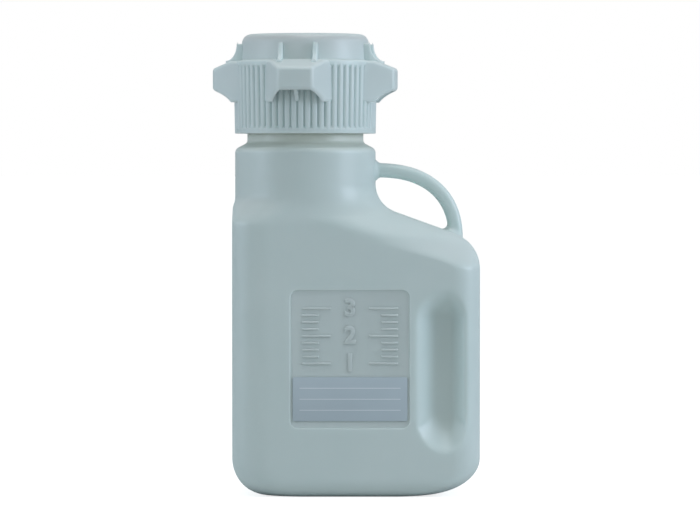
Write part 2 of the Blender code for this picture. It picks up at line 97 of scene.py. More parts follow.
# Ring handle
STRAP_THICKNESS = 0.0096
STRAP_WIDTH = 0.0160
STRAP_TAPER = 0.02  # share of its size that the strap loses on its way down
STRAP_EDGE = 3.2  # exponent of the strap's section: 2 is an ellipse
STRAP_RISE = 0.2155  # height where it leaves the tower
STRAP_INSET = 0.0153  # from the handle side in to where it meets the shoulder
STRAP_SQUARENESS = 2.38  # exponent of the strap's curve: 2 is an ellipse
STRAP_FILLET = 0.0042
STRAP_FILLET_OUTER = 0.0022  # where the strap's outer side meets the rounded corner
STRAP_SIDES = 56
STRAP_STEPS = 900  # of the fine curve from which the stations are taken
STRAP_SPAN = 5  # fine steps to each side over which the curve's direction is taken
STRAP_PITCH = (0.0006, 0.0018)  # between stations near the ends, and along the middle
STRAP_PITCH_CHANGE = (0.008, 0.016)  # distances from an end between which the pitch grows

# Grip recesses
GRIP_DEPTH = 0.0118
GRIP_MIDDLE = 0.0220  # from the handle side in to the recess's deepest point
GRIP_LEFT = 0.0220
GRIP_RIGHT = 0.0143
GRIP_LOW = 0.0290
GRIP_HIGH = 0.1380
GRIP_ROUND_LOW = 0.0280  # heights of the recess's rounded ends
GRIP_ROUND_HIGH = 0.0210
GRIP_WALL_LEFT = 0.0155  # how far each wall takes to reach the floor
GRIP_WALL_RIGHT = 0.0120
GRIP_WALL_LOW = 0.0250
GRIP_WALL_HIGH = 0.0200
GRIP_LIP = 0.38  # share of a wall that its rounded lip takes: soft at the sides, crisp below
GRIP_LIP_LOW = 0.08
GRIP_LIP_TURN = 0.18  # how soon the lip turns crisp, going from the side round to below
GRIP_FOOT = 0.45  # share of a wall that its rounded foot takes
GRIP_FACE = 0.6  # share of the half depth beyond which a point lies on the front or the back

# Panel and its raised scale
PANEL_WIDTH = 0.079
PANEL_LOW = 0.0455
PANEL_HEIGHT = 0.0915
PANEL_SHIFT = (LABEL_LOW[0] + LABEL_HIGH[0]) / 2
PANEL_CORNER = 0.0053
PANEL_DEPTH = 0.0008
PANEL_ROUND = PANEL_DEPTH * 0.9
MARK_RELIEF = 0.0007
SCALE_FIRST = 0.47  # height of the lowest tick, and the step between ticks, as shares of the panel's height
SCALE_STEP = 0.0495
SCALE_SIDE = 0.40  # from the panel's middle out to the ticks' outer ends, as a share of its width
TICK_COUNT = 9
TICK_LONG_EVERY = 4
TICK_LONG = 0.019
TICK_SHORT = 0.011
TICK_HEIGHT = 0.0014
TICK_ROUND = 0.00022
NUMBER_SIZE = 0.0155
LABEL_CORNER = 0.0012
LABEL_EDGE = 0.0001
LABEL_MARGIN = 0.0045  # bare at the ends of the ruled lines
LABEL_LINES = (0.25, 0.5, 0.75)  # shares of the label's height
LABEL_LINE_HALF = 0.00022

# Thread
THREAD_LEAD = 0.008
THREAD_TURNS = 1.6
THREAD_HEIGHT = 0.00275
THREAD_ROOT = 0.0032
THREAD_CREST = 0.0016
THREAD_START = 0.2500
THREAD_GAP = 0.0005
THREAD_STEPS = 72  # a turn
THREAD_FADE = 2 * math.pi / 9  # turn over which an end of the thread rises
BORE = NECK_RADIUS + THREAD_HEIGHT + THREAD_GAP  # radius inside the cap's ring

# Cap
CAP_WALL = 0.0022
CAP_CEILING = 0.0025
RING_RADIUS = 0.0479
RING_TOP = CAP_BOTTOM + 0.0484
DOME_RADIUS = 0.0430
DOME_DRAFT = 0.0007
DOME_ROUND = 0.0062
RING_ROUND = 0.0011
RING_LIP = 0.0004  # round of the ring's lower edge
RING_DRAFT = 0.0009  # how far the ring draws in towards its lower edge
RIB_COUNT = 64
RIB_MARGIN = 0.0031
RIB_DEPTH = 0.0015
RIB_VALLEY = (  # share of the depth, and half the groove's width there
    (1.0, 0.00024),
    (0.75, 0.00042),
    (0.45, 0.00070),
    (0.18, 0.00110),
    (0.0, 0.00165),
)
RIB_MOUTH = 0.0023  # half the groove's width outside the ring
RIB_RUN = RIB_DEPTH * 1.4  # how far the groove's ends slope in
RIB_DRAFT = RING_DRAFT * 0.9  # how far the groove's lower end moves in
WING_COUNT = 4
WING_TURN = math.radians(-6)
WING_REACH = 0.0610
WING_TIP = 0.023  # widths at the tip and where the wing meets the ring
WING_ROOT = 0.0422
WING_FALL = 0.0051  # how far the top slopes down to the tip
WING_FACE = 0.0142  # height of the flat tip
WING_DEEP = 0.0277  # height at the ring
WING_START = RING_RADIUS * 0.7  # inside the ring, so that the wing is joined to it
POCKET_START = RING_RADIUS * 0.72
POCKET_SIDE = 1.1  # the wings' side walls, in thicknesses of their top wall
WING_WALL = 0.002
WING_FIN = 0.0024
WING_ROUND = 0.0017
GUSSET_HEIGHT = 0.0113
GUSSET_FOOT = 0.0089  # how far they reach out over the wings
GUSSET_BLUNT = 0.0016  # width of the gussets' flat upper ends
GUSSET_THICKNESS = 0.0027
GUSSET_DRAFT = 1.5  # how much thicker the gussets are where they stand on the wings
GUSSET_ROUND = GUSSET_THICKNESS * 0.22

# Studio, with its camera
FLOOR_RADIUS = 60.0
FLOOR_DROP = 0.0002
FLOOR_GLOW = 0.78  # brings the floor up to the surround, for the camera only
SURROUND_STRENGTH = 0.40
SOFTBOX_AIM = 0.15  # height that the softboxes point at
CAMERA_DISTANCE = 3.0
CAMERA_HEIGHT = 0.222
CAMERA_AIM = 0.1532  # height that the camera looks at
CAMERA_X = -0.004
SENSOR = 36.0
VIEW_WIDTH = 0.4677  # metres across the frame at the bottle's middle plane

# Centres of the slope's two roundings
FILLET_X = AXIS_X + TOWER_RADIUS + TOWER_FILLET
CORNER_X = RIGHT - SHOULDER_ROUND


# ---------------------------------------------------------------- modelling helpers


def start():
    """Nothing selected, in object mode, before a new primitive."""
    if bpy.context.mode != "OBJECT":
        bpy.ops.object.mode_set(mode="OBJECT")
    bpy.ops.object.select_all(action="DESELECT")


def added(name):
    """The object that the last operator made, with its name."""
    obj = bpy.context.object
    obj.name = name
    return obj


def choose(obj):
    start()
    obj.select_set(True)
    bpy.context.view_layer.objects.active = obj


def edit(obj):
    """Edit mode, with the whole mesh selected."""
    choose(obj)
    bpy.ops.object.mode_set(mode="EDIT")
    bpy.ops.mesh.select_all(action="SELECT")


def leave():
    bpy.ops.object.mode_set(mode="OBJECT")


def pick(obj, kind, test):
    """Selects the vertices, edges or faces of obj, in edit mode, that pass a test on their corner points."""
    bpy.ops.mesh.select_all(action="DESELECT")
    bpy.ops.mesh.select_mode(type=kind)
    leave()
    mesh = obj.data
    points = [vertex.co.copy() for vertex in mesh.vertices]
    parts = {"VERT": mesh.vertices, "EDGE": mesh.edges, "FACE": mesh.polygons}[kind]
    for part in parts:
        corners = [points[part.index]] if kind == "VERT" else [points[i] for i in part.vertices]
        part.select = test(corners)
    bpy.ops.object.mode_set(mode="EDIT")


def apply_place(obj):
    """Moves the object's place, turn and scale into its mesh, which leaves it at the origin."""
    choose(obj)
    bpy.ops.object.transform_apply(location=True, rotation=True, scale=True)


def apply_modifier(obj, kind, **settings):
    choose(obj)
    step = obj.modifiers.new(kind.lower(), kind)
    for name, value in settings.items():
        setattr(step, name, value)
    bpy.ops.object.modifier_apply(modifier=step.name)


def combine(obj, operation, other):
    """A Boolean of obj with another form, which is used up."""
    apply_modifier(obj, "BOOLEAN", operation=operation, solver="EXACT", object=other)
    bpy.data.objects.remove(other, do_unlink=True)


def tidy(obj, angle=35):
    """Merged, facing out, and smooth except at edges sharper than the angle."""
    edit(obj)
    bpy.ops.mesh.remove_doubles(threshold=2e-6)
    bpy.ops.mesh.normals_make_consistent(inside=False)
    leave()
    bpy.ops.object.shade_smooth_by_angle(angle=math.radians(angle))


def turned(name, profile, vertices=192):
    """A solid of revolution about the neck's axis: a disc drawn up through (radius, height) points."""
    start()
    radius, height = profile[0]
    bpy.ops.mesh.primitive_circle_add(
        vertices=vertices, radius=radius, fill_type="NGON", location=(AXIS_X, 0.0, height)
    )
    obj = added(name)
    apply_place(obj)
    edit(obj)
    for next_radius, next_height in profile[1:]:
        rise = {"value": (0.0, 0.0, next_height - height)}
        bpy.ops.mesh.extrude_region_move(TRANSFORM_OT_translate=rise)
        scale = next_radius / radius
        bpy.ops.transform.resize(value=(scale, scale, 1.0), center_override=(AXIS_X, 0.0, next_height))
        radius, height = next_radius, next_height
    leave()
    tidy(obj)
    return obj


def drawn(name, stations):
    """A block drawn out along +X through (x, half width, low, high) sections, from the neck's axis."""
    start()
    x, half, low, high = stations[0]
    middle = (low + high) / 2
    bpy.ops.mesh.primitive_plane_add(size=1.0, rotation=(0.0, math.pi / 2, 0.0))
    obj = added(name)
    obj.scale = (high - low, 2 * half, 1.0)
    obj.location = (AXIS_X + x, 0.0, middle)
    apply_place(obj)
    edit(obj)
    for next_x, next_half, next_low, next_high in stations[1:]:
        next_middle = (next_low + next_high) / 2
        shift = {"value": (next_x - x, 0.0, next_middle - middle)}
        bpy.ops.mesh.extrude_region_move(TRANSFORM_OT_translate=shift)
        scale = (1.0, next_half / half, (next_high - next_low) / (high - low))
        bpy.ops.transform.resize(value=scale, center_override=(AXIS_X + next_x, 0.0, next_middle))
        x, half, low, high, middle = next_x, next_half, next_low, next_high, next_middle
    leave()
    tidy(obj)
    return obj


def repeat_round(obj, count, first_turn=0.0):
    """Turns obj about the neck's axis, then copies it evenly round."""
    centre = (AXIS_X, 0.0, 0.0)
    edit(obj)
    bpy.ops.transform.rotate(value=-first_turn, orient_axis="Z", center_override=centre)
    for _ in range(count - 1):
        bpy.ops.mesh.duplicate()
        bpy.ops.transform.rotate(value=-2 * math.pi / count, orient_axis="Z", center_override=centre)
    leave()


def arc(centre, radii, first, last, steps):
    """Points on an ellipse's arc between two angles in degrees."""
    angles = [math.radians(first + (last - first) * i / steps) for i in range(steps + 1)]
    return [(centre[0] + radii[0] * math.cos(a), centre[1] + radii[1] * math.sin(a)) for a in angles]


def blend(first, last, share):
    """The value a share of the way from first to last."""
    return first + (last - first) * share


def eased(value, first, last):
    """0 up to the first value, 1 from the last on, with a smooth change between."""
    share = min(max((value - first) / (last - first), 0.0), 1.0)
    return share * share * (3.0 - 2.0 * share)


# ---------------------------------------------------------------- the bottle's form


def slope_height(x):
    """Height of the shoulder's straight slope."""
    return SHOULDER_HEIGHT + math.tan(SHOULDER_SLOPE) * (RIGHT - x)


FILLET_TOP = slope_height(FILLET_X) + TOWER_FILLET / math.cos(SHOULDER_SLOPE)
CORNER_FOOT = slope_height(CORNER_X) - SHOULDER_ROUND / math.cos(SHOULDER_SLOPE)


def foot_loss(height, inset, corner):
    """How far a rounded lower edge draws the side in: a quarter ellipse with this reach in and up."""
    reach_in, reach_up = corner[0] - inset, corner[1] - inset
    drop = corner[1] - height
    if drop <= 0.0:
        return 0.0
    return reach_in * (1.0 - math.sqrt(max(1.0 - (drop / reach_up) ** 2, 0.0)))


def tower_profile(inset):
    """(height, radius) points of the tower's rounded edge, its sloping top and the neck's fillet."""
    turn = math.pi / 2 - TOWER_SLOPE
    trim = math.tan(turn / 2)
    edge_foot = TOWER_EDGE - TOWER_ROUND * trim
    neck_foot = TOWER_EDGE + (TOWER_RADIUS - NECK_RADIUS) * math.tan(TOWER_SLOPE) + NECK_FILLET * trim
    turn = math.degrees(turn)
    edge = arc((TOWER_RADIUS - TOWER_ROUND, edge_foot), (TOWER_ROUND - inset,) * 2, 0, turn, 7)
    fillet = arc((NECK_RADIUS + NECK_FILLET, neck_foot), (NECK_FILLET + inset,) * 2, 180 + turn, 180, 6)
    return [(height, radius) for radius, height in edge + fillet]


TOWER_PROFILES = {inset: tower_profile(inset) for inset in (0.0, WALL)}
TOWER_FOOT = TOWER_PROFILES[0.0][0][0]


def tower_radius(height, inset):
    """Radius above the shoulder: the tower, its sloping top and the neck."""
    points = TOWER_PROFILES[inset]
    if height <= points[0][0]:
        return points[0][1]
    for (low, first), (high, last) in zip(points, points[1:]):
        if height <= high:
            return blend(first, last, (height - low) / (high - low))
    return points[-1][1]


def right_side(height, inset):
    """X of the handle side in the middle plane: wall, corner, slope, fillet and tower."""
    if height >= FILLET_TOP:
        return AXIS_X + tower_radius(height, inset)
    fillet = TOWER_FILLET + inset
    if height >= FILLET_TOP - fillet * math.cos(SHOULDER_SLOPE):
        return FILLET_X - math.sqrt(fillet**2 - (FILLET_TOP - height) ** 2)
    corner = SHOULDER_ROUND - inset
    if height >= CORNER_FOOT + corner * math.cos(SHOULDER_SLOPE):
        level = height + inset / math.cos(SHOULDER_SLOPE)
        return RIGHT - (level - SHOULDER_HEIGHT) / math.tan(SHOULDER_SLOPE)
    if height >= CORNER_FOOT:
        return CORNER_X + math.sqrt(corner**2 - (height - CORNER_FOOT) ** 2)
    return RIGHT - inset - foot_loss(height, inset, FOOT_RIGHT)


def left_side(height, inset):
    """X of the side away from the handle, in the middle plane."""
    if height >= FILLET_TOP:
        return AXIS_X - tower_radius(height, inset)
    step = TOWER_INSET * eased(height, *SHOULDER_STEP)
    return LEFT + step + inset + foot_loss(height, inset, FOOT_LEFT)


def half_depth(height, inset):
    """Y of the back face, before the shoulder's band draws it in."""
    if height >= TOWER_FOOT:
        return tower_radius(height, inset)
    return HALF_DEPTH - inset - foot_loss(height, inset, FOOT_ROUND)


def drawn_in(x, y, height, depth):
    """A point of the section moved in towards the tower's depth, along the shoulder's soft band."""
    if height >= TOWER_FOOT:
        return y
    drop = max(x - SHOULDER_TURN, 0.0) * math.tan(SHOULDER_SLOPE)
    return y * (1.0 - (HALF_DEPTH - TOWER_RADIUS) * eased(height + drop, *SHOULDER_BAND) / depth)


def ramp(share, lip):
    """A straight slope from 0 to 1 with a rounded lip and a rounded foot."""
    share = min(max(share, 0.0), 1.0)
    steep = 1.0 / (1.0 - lip / 2.0 - GRIP_FOOT / 2.0)
    if share < lip:
        return steep * share * share / (2.0 * lip)
    if share > 1.0 - GRIP_FOOT:
        return 1.0 - steep * (1.0 - share) ** 2 / (2.0 * GRIP_FOOT)
    return steep * (share - lip / 2.0)


def grip_share(x, height, grow):
    """How deep a grip recess, grown all round, is at a point: from 0 outside it to 1 on its floor."""
    to_right = x > RIGHT - GRIP_MIDDLE
    reach = (GRIP_RIGHT if to_right else GRIP_LEFT) + grow
    side_wall = (GRIP_WALL_RIGHT if to_right else GRIP_WALL_LEFT) / reach
    low_round, high_round = GRIP_ROUND_LOW + grow, GRIP_ROUND_HIGH + grow
    across = (x - RIGHT + GRIP_MIDDLE) / reach
    below = max(GRIP_LOW + GRIP_ROUND_LOW - height, 0.0) / low_round
    above = max(height - GRIP_HIGH + GRIP_ROUND_HIGH, 0.0) / high_round
    out = max(math.hypot(across, below, above), 1e-6)
    side, low, high = (across / out) ** 2, (below / out) ** 2, (above / out) ** 2
    wall = side * side_wall + low * GRIP_WALL_LOW / low_round + high * GRIP_WALL_HIGH / high_round
    lip = blend(GRIP_LIP, GRIP_LIP_LOW, eased(low, 0.0, GRIP_LIP_TURN))
    return ramp((1.0 - out) / wall, lip) if out < 1.0 else 0.0


# Where the outline's points lie: even on the corners, and closer together on the flats near the grips
CORNER_STEPS = 20
FINE_FROM = 0.74
FINE_STEPS = 26
FINE_SHARES = [FINE_FROM + (1.0 - FINE_FROM) * i / FINE_STEPS for i in range(FINE_STEPS)]
FLAT_SHARES = [i / 10 for i in range(1, 8)] + FINE_SHARES
SIDE_SHARES = [0.2, 0.4, 0.5, 0.6, 0.8]


def section(height, inset):
    """The bottle's outline at a height: four elliptical corners with flats between them."""
    left, right = left_side(height, inset), right_side(height, inset)
    depth = half_depth(height, inset)
    corner = BODY_CORNER - inset
    ends = eased(height, CORNER_FOOT, CORNER_FOOT + SHOULDER_RISE)
    right_x = blend(corner, min(SHOULDER_REACH - inset, right - AXIS_X), ends)
    right_y = blend(corner, depth, eased(height, CORNER_FOOT, FILLET_TOP))
    round_off = eased(height, SHOULDER_BAND[0], SHOULDER_BAND[1] + SHOULDER_SETTLE)
    left_x = blend(BODY_CORNER_REACH - inset, AXIS_X - left, round_off)
    left_y = blend(corner, depth, round_off)
    back_right = arc((right - right_x, depth - right_y), (right_x, right_y), 0, 90, CORNER_STEPS)
    back_left = arc((left + left_x, depth - left_y), (left_x, left_y), 90, 180, CORNER_STEPS)
    front_left = [(x, -y) for x, y in reversed(back_left)]
    front_right = [(x, -y) for x, y in reversed(back_right)]
    back = [(blend(back_right[-1][0], back_left[0][0], 1 - s), depth) for s in reversed(FLAT_SHARES)]
    front = [(x, -y) for x, y in reversed(back)]
    left_flat = [(left, blend(back_left[-1][1], front_left[0][1], s)) for s in SIDE_SHARES]
    right_flat = [(right, blend(front_right[-1][1], back_right[0][1], s)) for s in SIDE_SHARES]
    outline = back_right + back + back_left + left_flat + front_left + front + front_right + right_flat
    return [(x, drawn_in(x, y, height, depth)) for x, y in outline]


def pressed(points, height, inset):
    """The section with the grip recesses pressed into its front and back."""
    if not GRIP_LOW - inset < height < GRIP_HIGH + inset:
        return points
    limit = (HALF_DEPTH - inset) * GRIP_FACE
    moved = []
    for x, y in points:
        sink = GRIP_DEPTH * grip_share(x, height, inset)
        moved.append((x, y - math.copysign(sink, y)) if abs(y) > limit else (x, y))
    return moved


def section_heights(inset, pitch):
    """Heights of the sections: close together round the foot, then even, then as the tower turns."""
    reach = max(FOOT_LEFT[1], FOOT_RIGHT[1])
    foot = [reach - (reach - inset) * math.cos(math.radians(a)) for a in range(0, 91, 5)]
    body = spread(reach, CORNER_FOOT, pitch)[1:]
    shoulder = spread(CORNER_FOOT, TOWER_FOOT, pitch)[1:]
    return foot + body + shoulder + [height for height, _ in TOWER_PROFILES[inset]][1:]


def spread(first, last, pitch):
    """Even steps from first to last, about a pitch apart."""
    count = round((last - first) / pitch)
    return [blend(first, last, i / count) for i in range(count + 1)]


def base_rings(inset):
    """Rings of the base from its middle out: pushed up in the middle, flat at the foot."""
    foot = section(inset, inset)
    middle = (LEFT + RIGHT) / 2
    rings = []
    for share in BASE_RINGS:
        lift = BASE_PUSH * (1.0 - eased(share, *BASE_RISE))
        rings.append([(blend(middle, x, share), y * share, inset + lift) for x, y in foot])
    return rings


def wrapped(name, inset, pitch, top):
    """A grid wrapped round the bottle's sections and closed into a solid."""
    rings = base_rings(inset)
    heights = section_heights(inset, pitch)
    rings += [[(x, y, h) for x, y in pressed(section(h, inset), h, inset)] for h in heights]
    neck = section(heights[-1], inset)
    rings += [[(x, y, h) for x, y in neck] for h in (blend(heights[-1], top, 0.5), top)]
    around = len(rings[0])
    start()
    bpy.ops.mesh.primitive_grid_add(x_subdivisions=around, y_subdivisions=len(rings) - 1, size=1.0)
    obj = added(name)
    places = [coordinate for ring in rings for point in ring + ring[:1] for coordinate in point]
    obj.data.vertices.foreach_set("co", places)
    edit(obj)
    bpy.ops.mesh.remove_doubles(threshold=2e-6)
    bpy.ops.mesh.select_all(action="DESELECT")
    bpy.ops.mesh.select_non_manifold()
    bpy.ops.mesh.edge_face_add()
    leave()
    close_ends(obj)
    tidy(obj)
    return obj


def close_ends(obj):
    """Fills whatever loops are still open."""
    edit(obj)
    bpy.ops.mesh.select_all(action="DESELECT")
    bpy.ops.mesh.select_mode(type="EDGE")
    bpy.ops.mesh.select_non_manifold()
    bpy.ops.mesh.fill_holes(sides=0)
    leave()


def strap_stations():
    """(x, z, turn, scale) along the ring handle's squared quarter curve, closer together at its ends."""
    start_x = AXIS_X + TOWER_RADIUS
    end_x = RIGHT - STRAP_INSET
    end_z = slope_height(end_x) - STRAP_THICKNESS / 2
    reach, rise = end_x - start_x, STRAP_RISE - end_z
    power = 2.0 / STRAP_SQUARENESS
    angles = [math.pi / 2 * i / STRAP_STEPS for i in range(STRAP_STEPS + 1)]
    fine = [(start_x + reach * math.sin(a) ** power, end_z + rise * math.cos(a) ** power) for a in angles]
    lengths = [0.0]
    for first, second in zip(fine, fine[1:]):
        lengths.append(lengths[-1] + math.dist(first, second))
    total = lengths[-1]
    stations = [(start_x - WALL, STRAP_RISE, 0.0, 1.0)]
    place = 0.0
    for i in range(STRAP_SPAN, STRAP_STEPS + 1 - STRAP_SPAN):
        near_end = min(lengths[i], total - lengths[i])
        if lengths[i] - place >= blend(*STRAP_PITCH, eased(near_end, *STRAP_PITCH_CHANGE)):
            place = lengths[i]
            (x0, z0), (x1, z1) = fine[i - STRAP_SPAN], fine[i + STRAP_SPAN]
            shrink = 1.0 - STRAP_TAPER * place / total
            stations.append((*fine[i], math.atan2(z0 - z1, x1 - x0), shrink))
    stations.append((end_x, end_z - 4 * WALL, math.pi / 2, 1.0 - STRAP_TAPER))
    return stations


def strap():
    """The ring handle: a squarish disc drawn along its curve, then flared where it meets the bottle."""
    stations = strap_stations()
    x, z, turn, scale = stations[0]
    start()
    bpy.ops.mesh.primitive_circle_add(vertices=STRAP_SIDES, radius=1.0, fill_type="NGON")
    obj = added("strap")
    for vertex in obj.data.vertices:
        power = 2.0 / STRAP_EDGE
        across, along = vertex.co.x, vertex.co.y
        vertex.co.x = math.copysign(abs(across) ** power, across) * STRAP_THICKNESS / 2
        vertex.co.y = math.copysign(abs(along) ** power, along) * STRAP_WIDTH / 2
    obj.rotation_euler = (0.0, math.pi / 2, 0.0)
    obj.location = (x, 0.0, z)
    apply_place(obj)
    edit(obj)
    for next_x, next_z, next_turn, next_scale in stations[1:]:
        centre = (next_x, 0.0, next_z)
        step = {"value": (next_x - x, 0.0, next_z - z)}
        bpy.ops.mesh.extrude_region_move(TRANSFORM_OT_translate=step)
        bpy.ops.transform.rotate(value=turn - next_turn, orient_axis="Y", center_override=centre)
        bpy.ops.transform.resize(value=(next_scale / scale,) * 3, center_override=centre)
        x, z, turn, scale = next_x, next_z, next_turn, next_scale
    leave()
    flare(obj, stations[-1][0])
    tidy(obj, 60)
    return obj


def flare(obj, end_x):
    """Spreads the strap's ends into fillets: about its upper end, then about its lower end at end_x."""
    for vertex in obj.data.vertices:
        point = vertex.co
        tower_gap = math.hypot(point.x - AXIS_X, point.y) - TOWER_RADIUS
        spread_out = fillet_reach(tower_gap, STRAP_FILLET)
        away = math.hypot(point.y, point.z - STRAP_RISE)
        if spread_out > 0.0:
            point.y *= 1.0 + spread_out / away
            point.z += (point.z - STRAP_RISE) * spread_out / away
        away = max(math.hypot(point.x - end_x, point.y), 1e-6)
        outward = (point.x - end_x) / away
        radius = blend(STRAP_FILLET, STRAP_FILLET_OUTER, eased(outward, -0.2, 0.8))
        shoulder_gap = point.z - shoulder_top(point.x + outward * radius)
        spread_out = fillet_reach(shoulder_gap, radius) if point.x > end_x - STRAP_THICKNESS else 0.0
        if spread_out > 0.0:
            point.x += (point.x - end_x) * spread_out / away
            point.y *= 1.0 + spread_out / away


def fillet_reach(gap, radius):
    """How far a fillet stands out at a distance from the surface it runs into."""
    gap = max(gap, 0.0)
    return radius - math.sqrt(radius**2 - (radius - gap) ** 2) if gap < radius else 0.0


def shoulder_top(x):
    """Height of the sloping shoulder in the middle plane, with its rounded corner."""
    if x < CORNER_X + SHOULDER_ROUND * math.sin(SHOULDER_SLOPE):
        return slope_height(x)
    return CORNER_FOOT + math.sqrt(max(SHOULDER_ROUND**2 - (x - CORNER_X) ** 2, 0.0))


def panel_cutter():
    """A shallow block with rounded corners and a rounded floor edge."""
    start()
    bpy.ops.mesh.primitive_cube_add(size=1.0)
    obj = added("panel_cutter")
    thickness = 0.01
    floor = FRONT + PANEL_DEPTH
    obj.scale = (PANEL_WIDTH, thickness, PANEL_HEIGHT)
    obj.location = (PANEL_SHIFT, floor - thickness / 2, PANEL_LOW + PANEL_HEIGHT / 2)
    apply_place(obj)
    edit(obj)
    pick(obj, "EDGE", lambda points: abs(points[0].y - points[1].y) > thickness / 2)
    bpy.ops.mesh.bevel(offset=PANEL_CORNER, segments=8, affect="EDGES")
    pick(obj, "EDGE", lambda points: all(abs(p.y - floor) < 1e-5 for p in points))
    bpy.ops.mesh.bevel(offset=PANEL_ROUND, segments=3, affect="EDGES")
    leave()
    tidy(obj)
    return obj


def thread(name, root, crest, first):
    """A helical ridge about the neck's axis, from a four-cornered profile, faded out at both ends."""
    start()
    bpy.ops.mesh.primitive_plane_add(size=1.0, rotation=(math.pi / 2, 0.0, 0.0))
    obj = added(name)
    profile = (
        (root, -THREAD_ROOT / 2),
        (crest, -THREAD_CREST / 2),
        (root, THREAD_ROOT / 2),
        (crest, THREAD_CREST / 2),
    )
    for vertex, (radius, height) in zip(obj.data.vertices, profile):
        vertex.co = (radius, 0.0, height)
    obj.rotation_euler = (0.0, 0.0, 0.0)
    edit(obj)
    bpy.ops.mesh.delete(type="ONLY_FACE")
    leave()
    steps = round(THREAD_TURNS * THREAD_STEPS)
    apply_modifier(
        obj, "SCREW", angle=2 * math.pi * THREAD_TURNS, screw_offset=THREAD_LEAD * THREAD_TURNS,
        steps=steps, render_steps=steps, use_merge_vertices=False, merge_threshold=1e-6,
    )
    for vertex in obj.data.vertices:
        radius = math.hypot(vertex.co.x, vertex.co.y)
        turn = vertex_turn(vertex.co)
        share = min(turn, 2 * math.pi * THREAD_TURNS - turn, THREAD_FADE) / THREAD_FADE
        wanted = blend(root, radius, max(share, 0.05))
        vertex.co.x *= wanted / radius
        vertex.co.y *= wanted / radius
    obj.location = (AXIS_X, 0.0, first)
    apply_place(obj)
    close_ends(obj)
    tidy(obj)
    return obj


def vertex_turn(point):
    """How far along the helix a point of the ridge lies, in radians."""
    angle = math.atan2(point.y, point.x) % (2 * math.pi)
    turns = round(point.z / THREAD_LEAD - angle / (2 * math.pi))
    return angle + 2 * math.pi * max(turns, 0)


def bottle_shell():
    """The blow moulding: its outside with the panel and the strap, hollowed, with the neck's thread."""
    bottle = wrapped("bottle_shell", 0.0, SHELL_PITCH, NECK_TOP)
    combine(bottle, "DIFFERENCE", panel_cutter())
    combine(bottle, "UNION", strap())
    hollow = wrapped("bottle_hollow", WALL, HOLLOW_PITCH, NECK_TOP + WALL)
    combine(bottle, "DIFFERENCE", hollow)
    ridge = thread("neck_thread", NECK_RADIUS - WALL / 2, NECK_RADIUS + THREAD_HEIGHT, THREAD_START)
    combine(bottle, "UNION", ridge)
    tidy(bottle, 40)
    return bottle


# ---------------------------------------------------------------- the cap


def cap_profile():
    """(radius, height) points up the ring's side, in to the dome's foot and over its rounded edge."""
    edge, lip = RING_ROUND, RING_LIP
    dome_radius = DOME_RADIUS - DOME_DRAFT
    dome = arc((dome_radius - DOME_ROUND, CAP_TOP - DOME_ROUND), (DOME_ROUND, DOME_ROUND), 0, 90, 11)
    foot = arc((DOME_RADIUS + edge, RING_TOP + edge), (edge, edge), 270, 180, 4)
    ring = arc((RING_RADIUS - edge, RING_TOP - edge), (edge, edge), 0, 90, 5)
    low_radius = RING_RADIUS - RING_DRAFT
    low = arc((low_radius - lip, CAP_BOTTOM + lip), (lip, lip), -90, 0, 3)
    return low + ring + foot + dome


def rib_grooves():
    """The valleys between the rounded ribs: one flared groove, copied round the ring."""
    low, high = CAP_BOTTOM + RIB_MARGIN, RING_TOP - RIB_MARGIN
    stations = []
    for depth, half in RIB_VALLEY:
        run = RIB_RUN * depth
        stations.append((RING_RADIUS - RIB_DEPTH * depth, half, low + run, high - run))
    stations.append((RING_RADIUS + RIB_DEPTH, RIB_MOUTH, low, high))
    grooves = drawn("rib_grooves", stations)
    edit(grooves)
    pick(grooves, "VERT", lambda points: points[0].z < (low + high) / 2)
    bpy.ops.transform.translate(value=(-RIB_DRAFT, 0.0, 0.0))
    leave()
    repeat_round(grooves, RIB_COUNT, WING_TURN)
    return grooves


def wing_top(reach):
    """Height of a wing's upper side, a hair under the ring's top until it leaves the ring."""
    share = max(reach - RING_RADIUS, 0.0) / (WING_REACH - RING_RADIUS)
    return RING_TOP - WING_WALL / 10 - WING_FALL * share


def wing_bottom(reach):
    """Height of a wing's lower side: it falls from the tip, and faster near the ring."""
    share = min((WING_REACH - reach) / (WING_REACH - RING_RADIUS), 1.0)
    tip = RING_TOP - WING_FALL - WING_FACE
    return blend(tip, RING_TOP - WING_DEEP, 0.7 * share + 0.3 * share**4)


def wing_half(reach):
    """Half a wing's width, which narrows evenly from the ring's side to the tip."""
    root = math.sqrt(RING_RADIUS**2 - (WING_ROOT / 2) ** 2)
    return WING_TIP / 2 + (WING_ROOT - WING_TIP) / 2 * (WING_REACH - reach) / (WING_REACH - root)


def wing_blanks():
    """The wings' outer forms, with rounded edges, copied round the ring."""
    reaches = [WING_START] + [blend(RING_RADIUS, WING_REACH, i / 7) for i in range(8)]
    wings = drawn("wing_blanks", [(x, wing_half(x), wing_bottom(x), wing_top(x)) for x in reaches])
    tip = AXIS_X + WING_REACH
    edit(wings)

    def long_or_at_tip(points):
        along = abs(points[0].x - points[1].x) > 1e-4
        return along or all(abs(p.x - tip) < 1e-5 for p in points)

    pick(wings, "EDGE", long_or_at_tip)
    bpy.ops.mesh.bevel(offset=WING_ROUND, segments=3, affect="EDGES")
    leave()
    tidy(wings)
    repeat_round(wings, WING_COUNT, WING_TURN)
    return wings


def wing_pockets():
    """The hollows inside the wings, open below."""
    floor = CAP_BOTTOM + RIB_MARGIN
    reaches = (POCKET_START, RING_RADIUS, WING_REACH - WING_WALL)
    stations = [(x, wing_half(x) - POCKET_SIDE * WING_WALL, floor, wing_top(x) - WING_WALL) for x in reaches]
    pockets = drawn("wing_pockets", stations)
    repeat_round(pockets, WING_COUNT, WING_TURN)
    return pockets


